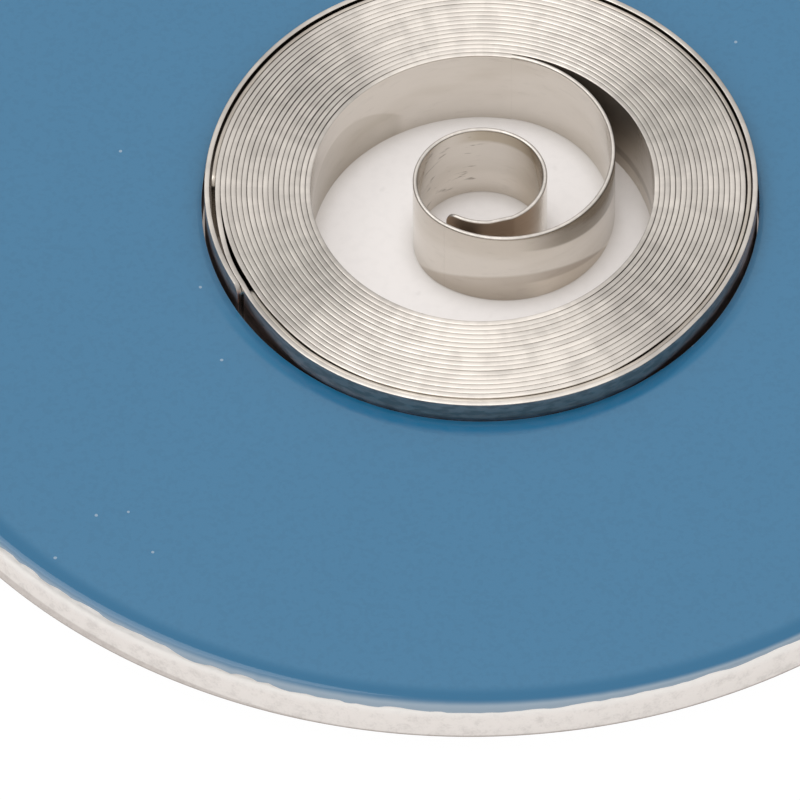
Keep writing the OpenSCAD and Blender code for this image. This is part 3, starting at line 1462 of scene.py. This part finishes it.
@dataclass
class Mainspring:
    """The strip in its three stretches: wound turns, free loop and inner coil.

    The tables give, by direction, the width of the seam between turns and how
    far the real turns lie outside the even ones: the first, the wound and the
    last turn, with the slack between the last turn and the bridle inside it.
    """

    height: float = 1.87
    thickness: float = 0.085
    gap: float = 0.0165
    seam: Table = (
        (0, 0.006), (30, 0.005), (60, 0.0036), (105, 0.0036), (120, 0.005), (135, 0.012),
        (150, 0.014), (165, 0.007), (185, 0.005), (225, 0.004), (245, 0.0036), (285, 0.0036),
        (300, 0.005), (315, 0.011), (330, 0.014), (345, 0.009),
    )
    first_relief: float = 0.004
    relief_span: float = 60.0
    first_ease: float = 40.0
    last_ease: float = 30.0
    waver: float = 0.0018
    play: float = 0.004
    free_crown: float = 0.032
    turns: int = 17
    winding_r: float = 3.31
    winding_at: float = 79.5
    strip_end_at: float = 208.4
    step_at: float = 193.5
    step_span: float = 30.0
    bridle_thickness: float = 0.085
    bridle_inset: float = 0.03
    loop: Point = (2.36, -18.0)
    bend: Point = (2.06, -123.0)
    coil: Point = (1.275, -300.0)
    seat: Point = (1.1325, -489.5)
    eye: Eye = Eye(at=-435.0, length=0.9, height=0.45)
    last_lean: Table = (
        (0, 0.035), (20, 0.047), (50, 0.048), (90, 0.035), (130, 0.022), (150, -0.009),
        (180, -0.034), (195, -0.05), (207, -0.066), (212, -0.035), (220, 0.005), (230, 0.075),
        (240, 0.096), (265, 0.096), (295, 0.092), (305, 0.08), (312, 0.045), (320, 0.014),
        (335, 0.004), (350, 0.019),
    )
    wound_lean: Table = (
        (0, 0.012), (30, 0.004), (60, 0.003), (90, -0.01), (130, -0.032), (150, -0.04),
        (180, -0.036), (207, -0.038), (220, 0.012), (232, 0.082), (245, 0.116), (270, 0.122),
        (298, 0.111), (312, 0.045), (335, 0.01), (350, 0.015),
    )
    slack: Table = (
        (0, 0.008), (20, 0.026), (60, 0.032), (128, 0.04), (150, 0.036), (178, 0.02),
        (207, -0.014), (225, -0.01), (245, -0.012), (290, -0.012), (303, -0.008), (330, 0.0),
    )
    inner_lean: Table = ((0, -0.01), (32, 0.03), (80, 0.0), (155, -0.03), (250, -0.02))
    pieces: list[bpy.types.Object] = field(default_factory=list)

    @property
    def pitch(self) -> float:
        """Gives how much one turn adds to the radius."""
        return self.thickness + self.gap

    @property
    def full_r(self) -> float:
        """Gives the winding's radius where the bridle begins."""
        return self.winding_r + self.turns * self.pitch

    @property
    def first_centre(self) -> np.ndarray:
        """Gives the centre of the winding's first half turn."""
        return -self.pitch / 4 * toward(self.winding_at)

    def winding_route(self) -> list[Arc]:
        """Lays out the wound turns, from the loop to the strip's outer end.

        Returns:
            The arcs in order.
        """
        lap = 360 * self.turns
        out = self.bridle_thickness + self.gap
        flare = out / (2 * (1 - math.cos(math.radians(self.step_span / 2))))
        legs = [
            (self.winding_r + k * self.pitch / 2, self.winding_at + 180 * (k + 1))
            for k in range(2 * self.turns)
        ]
        legs += [
            (self.full_r, lap + self.step_at - self.step_span / 2),
            (self.full_r + flare, lap + self.step_at),
            (self.full_r + out - flare, lap + self.step_at + self.step_span / 2),
            (self.full_r + out, lap + self.winding_at + 180),
            (self.full_r + out + self.pitch / 2, lap + self.winding_at + 360),
            (self.full_r + out + self.pitch, lap + 360 + self.strip_end_at),
        ]
        return chain(legs, self.winding_at, self.first_centre)

    def bridle_route(self) -> list[Arc]:
        """Lays out the bridle, which lies inside the last turn.

        Returns:
            The arcs in order.
        """
        lap = 360 * self.turns
        legs = [
            (self.full_r, lap + self.winding_at + 180),
            (self.full_r + self.pitch / 2, lap + self.winding_at + 360),
            (self.full_r + self.pitch, lap + 360 + self.step_at - self.step_span / 2),
        ]
        return chain(legs, lap + self.step_at + self.step_span / 2, self.first_centre)

    def inner_route(self) -> list[Arc]:
        """Gives the arcs that run inwards from the winding's first point."""
        legs = [(self.winding_r, self.winding_at), self.loop, self.bend, self.coil, self.seat]
        return chain(legs, self.winding_at, self.first_centre)[1:]

    def lean(self, angles: np.ndarray) -> np.ndarray:
        """Gives how far the real turns lie outside the even ones.

        Args:
            angles: Angles along the winding, in degrees over all its turns.

        Returns:
            The distance at each angle, in millimetres.
        """
        share = np.clip((angles - self.winding_at) / (360.0 * self.turns), 0, 1)
        step_from = 360.0 * self.turns + self.step_at - self.step_span / 2
        stepped = smooth_step((angles - step_from) / self.step_span)
        tables = (self.inner_lean, self.wound_lean, self.last_lean)
        inner, wound, last = (look_up(table, angles) for table in tables)
        mixed = (inner * (1 - share) + wound * share) * (1 - stepped) + last * stepped
        eased = smooth_step((angles - self.winding_at) / self.first_ease)
        return mixed * eased + self.waver * wander(angles, 11, 34.0) * eased

    def bridle_lean(self, angles: np.ndarray) -> np.ndarray:
        """Gives the last turn's lean, less the slack between it and the bridle."""
        return look_up(self.last_lean, angles) - look_up(self.slack, angles)

    def swell(self, angles: np.ndarray) -> np.ndarray:
        """Gives how much thicker the turns are drawn, so that only a fine seam is left.

        Args:
            angles: Angles along the winding, in degrees over all its turns.

        Returns:
            The added thickness at each angle, in millimetres.
        """
        last_from = 360.0 * (self.turns - 0.5)
        last = smooth_step((angles - last_from - self.winding_at) / self.last_ease)
        first = 1 - smooth_step((angles - self.winding_at) / self.relief_span)
        spread = look_up(self.wound_lean, angles) - look_up(self.inner_lean, angles)
        even = self.gap - look_up(self.seam, angles) + spread / self.turns * (1 - last)
        return even - self.first_relief * first

    def edge_play(self, angles: np.ndarray) -> np.ndarray:
        """Gives how much lower the upper edge stands than the highest one."""
        return self.play + self.play * wander(angles, 23, 140.0)

    def build(self) -> None:
        """Builds the three stretches of the strip."""
        strip = Strip(self.thickness, 0.0, self.height, step=2.05, round_last=True, swell=self.swell)
        wound = strip.build("wound_turns", strip.lay(self.winding_route(), self.lean, self.edge_play))
        arcs = self.inner_route()
        free = Strip(self.thickness, 0.0, self.height, self.free_crown)
        loop = free.build("free_loop", free.lay(arcs[:2]))
        loop_length = sum(abs(a.stop - a.start) * math.radians(1) * a.radius for a in arcs[:2])
        free = Strip(self.thickness, 0.0, self.height, self.free_crown, round_last=True, eye=self.eye)
        coil = free.build("arbor_coil", free.lay(arcs[2:], along_from=-loop_length))
        self.pieces = [wound, loop, coil]

    def dress(self) -> None:
        """Finishes the strip, sets the wound turns and the coil on their bodies and bakes the free
        loop in place.
        """
        steel = SPRING_STEEL.material()
        wound, loop, coil = self.pieces
        dress(wound, steel, Body.SPRING_PACK, "spring_winding")
        dress(coil, steel, Body.ARBOR_END, "inner_coil")
        loop.data.materials.append(steel)
        first, last = self.inner_route()[:2]
        middle = self.height / 2
        start, end = (
            tuple(float(part) * MM for part in (*point, middle))
            for point in (first.at(first.start), last.at(last.stop))
        )
        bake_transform(loop)
        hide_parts("spring_loop")
        log.info("%s: %d faces, bends between two bodies", loop.name, len(loop.data.polygons))


@dataclass
class SlipBridle:
    """The stiff strip of just under a turn that lies inside the last turn."""

    spring: Mainspring
    thickness: float = 0.072
    piece: bpy.types.Object | None = None

    def build(self) -> None:
        """Builds the bridle."""
        low = self.spring.bridle_inset
        high = self.spring.height - low
        strip = Strip(self.thickness, low, high, round_first=True, round_last=True)
        route = self.spring.bridle_route()
        self.piece = strip.build("bridle_strip", strip.lay(route, self.spring.bridle_lean))

    def dress(self) -> None:
        """Finishes the bridle."""
        steel = BRIDLE_STEEL.material()
        dress(self.piece, steel, Body.SPRING_PACK, "slip_bridle")


@dataclass
class TransportRing:
    """The round plate that holds the spring wound, with lacquer on its face.

    The tables give, by direction, the radius of the rolled upper edge and the
    angle round it at which the film ends.
    """

    radius: float = 12.25
    thickness: float = 0.92
    bore_r: float = 5.314
    low: float = 0.475
    foot_r: float = 0.03
    bare_rim: float = 0.35
    lip_r: Table = (
        (0, 0.12), (200, 0.2), (228, 0.255), (240, 0.285), (250, 0.275), (265, 0.24),
        (280, 0.19), (295, 0.13), (340, 0.11),
    )
    film: float = 0.02
    rim_shift: Point = (-0.2, 0.1)
    film_ends: Table = (
        (0, 30), (215, 50), (240, 42), (252, 33), (262, 23), (280, 18), (294, 17), (305, 28),
        (340, 45),
    )
    pieces: list[bpy.types.Object] = field(default_factory=list)

    def lip(self, angle: float) -> float:
        """Gives the radius of the rolled upper edge, which is larger on one side."""
        return float(look_up(self.lip_r, np.array(angle)))

    def shoulder(self, angle: float) -> Point:
        """Gives the centre of the rolled upper edge."""
        inset = self.film + self.lip(angle)
        return self.radius - inset, self.low + self.thickness - inset

    def plate_profile(self, angle: float) -> list[Point]:
        """Gives the bare plate's cross-section.

        Args:
            angle: The direction of the section, in degrees.

        Returns:
            The profile's points as radius and height.
        """
        shoulder = self.shoulder(angle)
        foot = (self.radius - self.foot_r, self.low + self.foot_r)
        top = self.low + self.thickness - self.film
        beside = 0.1
        return [
            (self.bore_r + self.foot_r, self.low),
            (self.radius - self.foot_r, self.low),
            *round_off(foot, self.foot_r, (-67.5, -45, -22.5, 0)),
            (self.radius, self.low + beside),
            (self.radius, shoulder[1] - self.bare_rim),
            (self.radius - self.film, shoulder[1]),
            *round_off(shoulder, self.lip(angle), range(10, 91, 10)),
            (shoulder[0] - beside, top),
            (self.bore_r + beside, top),
            (self.bore_r, top),
            (self.bore_r, self.low + beside),
            (self.bore_r, self.low + self.foot_r),
        ]

    def film_profile(self, angle: float) -> list[Point]:
        """Gives the lacquer's cross-section, with its ragged lower edge.

        Args:
            angle: The direction of the section, in degrees.

        Returns:
            The profile's points as radius and height.
        """
        shoulder = self.shoulder(angle)
        lip_r = self.lip(angle)
        top = self.low + self.thickness
        hem = float(self.hem[round(angle * LATHE_STEPS / 360) % LATHE_STEPS])
        steps = 14
        bends = [hem + (90 - hem) * k / steps for k in range(steps + 1)]
        return [
            *round_off(shoulder, lip_r + self.film, bends),
            (shoulder[0] - 0.05, top),
            (shoulder[0] - 0.3, top),
            (self.bore_r + 0.15, top),
            (self.bore_r + 0.02, top - 0.002),
            (self.bore_r, top - 0.012),
            (self.bore_r, top - self.film),
            (shoulder[0] - 0.1, top - self.film),
            *round_off(shoulder, lip_r, bends[::-1]),
        ]

    @cached_property
    def hem(self) -> np.ndarray:
        """Finds where the film ends round the lip.

        Returns:
            An angle in degrees for each lathe step.
        """
        angles = np.arange(LATHE_STEPS) * 360 / LATHE_STEPS
        ragged = 6 * wander(angles, 5, 3.1) + 5 * wander(angles, 6, 0.9)
        return look_up(self.film_ends, angles) + ragged

    def build(self) -> None:
        """Builds the plate and the film."""
        profiles = {"ring_body": self.plate_profile, "lacquer_film": self.film_profile}
        self.pieces = [lathe(name, profile, self.rim_shift) for name, profile in profiles.items()]

    def dress(self) -> None:
        """Finishes the plate and the film."""
        parts = ((BARE_ALUMINIUM, "ring_plate"), (BLUE_LACQUER, "face_lacquer"))
        for piece, (finish, node) in zip(self.pieces, parts):
            dress(piece, finish.material(), Body.TRANSPORT_RING, node)


# Stage


@dataclass
class Studio:
    """Pale floor, soft light and the camera at the photograph's angle.

    The room's light has two pairs of numbers, for its sides and its middle:
    what it gains from the horizon to the top, and what it has at the horizon.
    """

    elevation: float = 51.08
    distance: float = 400.0
    aim: Point = (-1.528, -3.697)
    focal: float = 942.5
    floor_half: float = 1500.0
    floor_z: float = -0.002
    hole_r: Point = (6.0, 11.0)
    corner_reach: float = 0.5
    white_share: Point = (0.42, 0.97)
    mirror_share: float = 0.35
    paper: Colour = (0.9, 0.885, 0.875)
    # Painted shadow in the corners next to the strip, and painted shade on the hole's floor.
    corner_shade: Colour = (0.46, 0.4, 0.35)
    hole_shade: Colour = (1.0, 0.93, 0.9)
    crumb: Colour = (0.45, 0.4, 0.36)
    grain_scale: float = 5200.0
    crumb_scale: float = 2300.0
    floor_glow: float = 1.02
    room: Colour = (1.0, 0.99, 0.98)
    room_sides: Point = (1.35, 0.12)
    room_middle: Point = (0.33, 0.78)
    sides_power: float = 1.6
    sides_from: Point = (0.15, 0.6)
    lamp_at: Place = (-150.0, 60.0, 380.0)
    lamp_size: float = 260.0
    lamp_watts: float = 0.35

    def build(self) -> None:
        """Builds the whole stage."""
        self.place_camera()
        self.lay_floor()
        self.light_world()
        self.hang_lamp()
        bpy.context.scene.view_settings.view_transform = "Standard"

    def place_camera(self) -> None:
        """Places the camera and makes it the scene's."""
        data = bpy.data.cameras.new("camera")
        data.lens = self.focal
        data.sensor_width = 36.0
        data.clip_start = 0.02
        data.clip_end = 20.0
        camera = link("camera", data)
        tilt = math.radians(self.elevation)
        back = Vector((0.0, -math.cos(tilt), math.sin(tilt)))
        target = Vector((*self.aim, 0.0)) * MM
        camera.location = back * self.distance * MM
        camera.rotation_mode = "QUATERNION"
        level = (-back).to_track_quat("-Z", "Y")
        swing = (-back).rotation_difference(target - camera.location)
        camera.rotation_quaternion = swing @ level
        bpy.context.scene.camera = camera

    def lay_floor(self) -> None:
        """Lays the floor, which shows white to the camera but keeps the shadow."""
        half = self.floor_half * MM
        mesh = bpy.data.meshes.new("floor")
        corners = [(-half, -half, 0), (half, -half, 0), (half, half, 0), (-half, half, 0)]
        mesh.from_pydata(corners, [], [(0, 1, 2, 3)])
        mesh.materials.append(self.floor_material())
        floor = link("floor", mesh)
        floor.location.z = self.floor_z * MM

    def floor_material(self) -> bpy.types.Material:
        """Makes paper that shows white outside the ring, with painted shade in the spring's hole and
        painted shadow in the corners next to the strip.

        Returns:
            The floor's material.
        """
        made, graph = open_material("pale_floor")
        reach, _, _ = graph.polar(graph.place())
        inner, outer = (edge * MM for edge in self.hole_r)
        share = graph.ramp(reach, inner, outer, *self.white_share)
        path = graph.add("LightPath").outputs
        seen = graph.math("MAXIMUM", path["Is Camera Ray"], path["Is Transmission Ray"])
        mirrored = graph.times(path["Is Glossy Ray"], self.mirror_share)
        held = graph.math("ADD", graph.times(seen, share), mirrored, clamp=True)
        # Painted shadow in the corners next to the strip, found by ambient occlusion.
        feeds = {"Distance": self.corner_reach * MM}
        near = graph.add("AmbientOcclusion", feeds, samples=6).outputs["AO"]
        shade_and_grain = graph.mix(graph.ramp(near, 0.4, 0.9), self.corner_shade, self.hole_shade)
        grain = graph.noise(graph.place(), self.grain_scale, 3.0)
        shade_and_grain = graph.mix(graph.ramp(grain, 0.35, 0.65, 0.965, 1.03), BLACK, shade_and_grain)
        crumbs = graph.noise(graph.place(), self.crumb_scale, 1.0)
        shade_and_grain = graph.mix(graph.ramp(crumbs, 0.7, 0.76, 0.0, 0.22), shade_and_grain, self.crumb)
        # Inside the hole the floor glows with the painted shade and the paper's grain.
        glow = graph.mix(graph.ramp(reach, inner, outer), shade_and_grain, WHITE)
        paper = graph.add("BsdfDiffuse", {"Color": (*self.paper, 1.0)})
        white = graph.add("Emission", {"Color": glow, "Strength": self.floor_glow})
        mixed = graph.add("MixShader", {0: held, 1: paper.outputs[0], 2: white.outputs[0]})
        graph.add("OutputMaterial", {"Surface": mixed.outputs[0]})
        return made

    def light_world(self) -> None:
        """Lights the scene from all round, paler above, and shows white behind."""
        world = bpy.data.worlds.new("soft_room")
        world.use_nodes = True
        bpy.context.scene.world = world
        graph = Graph(world.node_tree)
        x, _, z = graph.split(graph.add("TexCoord").outputs["Generated"])
        height = graph.math("MAXIMUM", z, 0.0)
        steep = graph.math("POWER", height, self.sides_power)
        sides = graph.math("MULTIPLY_ADD", steep, *self.room_sides)
        middle = graph.math("MULTIPLY_ADD", height, *self.room_middle)
        aside = graph.ramp(graph.math("ABSOLUTE", x), *self.sides_from)
        strength = graph.mix(aside, middle, sides, Domain.NUMBER)
        seen = graph.add("LightPath").outputs["Is Camera Ray"]
        room = graph.add("Background", {"Color": (*self.room, 1.0), "Strength": strength})
        white = graph.add("Background", {"Color": (*WHITE, 1.0), "Strength": 1.0})
        mixed = graph.add("MixShader", {0: seen, 1: room.outputs[0], 2: white.outputs[0]})
        graph.add("OutputWorld", {"Surface": mixed.outputs[0]})

    def hang_lamp(self) -> None:
        """Hangs the soft lamp."""
        data = bpy.data.lights.new("window", "AREA")
        data.shape = "DISK"
        data.size = self.lamp_size * MM
        data.energy = self.lamp_watts
        lamp = link("window", data)
        lamp.location = Vector(self.lamp_at) * MM
        lamp.rotation_mode = "QUATERNION"
        lamp.rotation_quaternion = (-lamp.location).to_track_quat("-Z", "Y")


def main() -> None:
    """Builds the stage, then each sub-assembly, and reports what it made."""
    logging.basicConfig(level=logging.INFO, format="%(name)s: %(message)s")
    Studio().build()
    build_effects()
    spring = Mainspring()
    for assembly in (spring, SlipBridle(spring), TransportRing()):
        assembly.build()
        assembly.dress()


if __name__ == "__main__":
    main()
